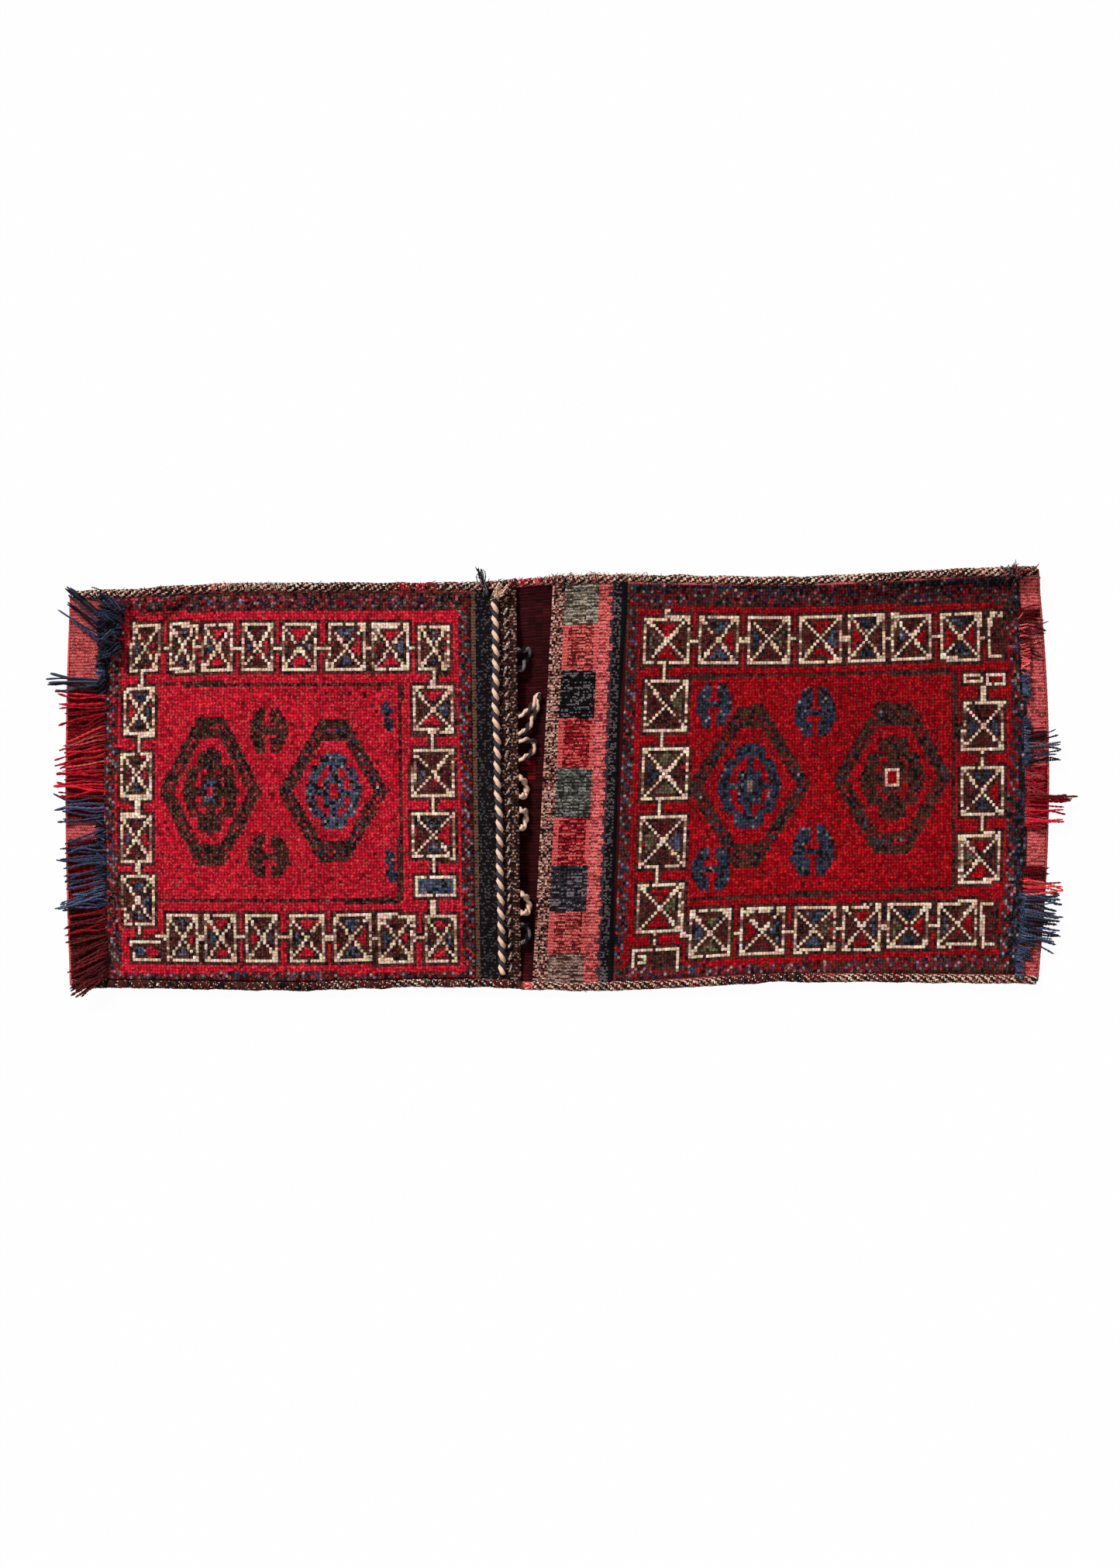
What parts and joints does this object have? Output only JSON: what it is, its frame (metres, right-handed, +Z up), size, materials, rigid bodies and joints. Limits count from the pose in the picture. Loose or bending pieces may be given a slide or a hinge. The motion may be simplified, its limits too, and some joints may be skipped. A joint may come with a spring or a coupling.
{
  "type": "kilim saddle bag",
  "caption": "Folded woven saddle bag with two pile-faced pockets that open towards a narrow bridge, with loops and fringe.",
  "frame": {"origin": "centre of the bag's outline, on the ground that its back lies on", "axes": "+Z up from the ground to the pile fronts, +X along the bag from the left pocket to the right one, +Y towards the far long side"},
  "size_m": [1.2484, 0.5241, 0.0278],
  "materials": {
    "pile": "matte knotted wool pile",
    "flat_weave": "matte flat-woven wool",
    "binding_yarn": "matte wool yarn",
    "cream_cord": "matte cotton and wool cord",
    "dark_yarn": "matte wool yarn",
    "red_yarn": "matte wool yarn",
    "dark_red_yarn": "matte wool yarn",
    "navy_yarn": "matte wool yarn"
  },
  "bodies": {
    "root": {"binding_far_bridge": "binding_yarn", "binding_far_left": "binding_yarn", "binding_far_right": "binding_yarn", "binding_near_bridge": "binding_yarn", "binding_near_left": "binding_yarn", "binding_near_right": "binding_yarn", "fringe_left_blue": "navy_yarn", "fringe_left_corner": "navy_yarn", "fringe_left_maroon": "dark_red_yarn", "fringe_left_navy": "navy_yarn", "fringe_left_red": "red_yarn", "fringe_right_blue": "navy_yarn", "fringe_right_corner": "dark_red_yarn", "fringe_right_maroon": "dark_red_yarn", "fringe_right_navy": "navy_yarn", "fringe_right_red": "red_yarn", "loop_1": "dark_yarn", "loop_2": "cream_cord", "loop_3": "cream_cord", "loop_4": "cream_cord", "loop_5": "cream_cord", "loop_6": "cream_cord", "loop_7": "dark_yarn", "mouth_cord": "cream_cord", "tuft_corner": "red_yarn", "tuft_dark": "dark_yarn", "tuft_pale": "cream_cord", "woven_body": "pile"}
  },
  "joints": []
}
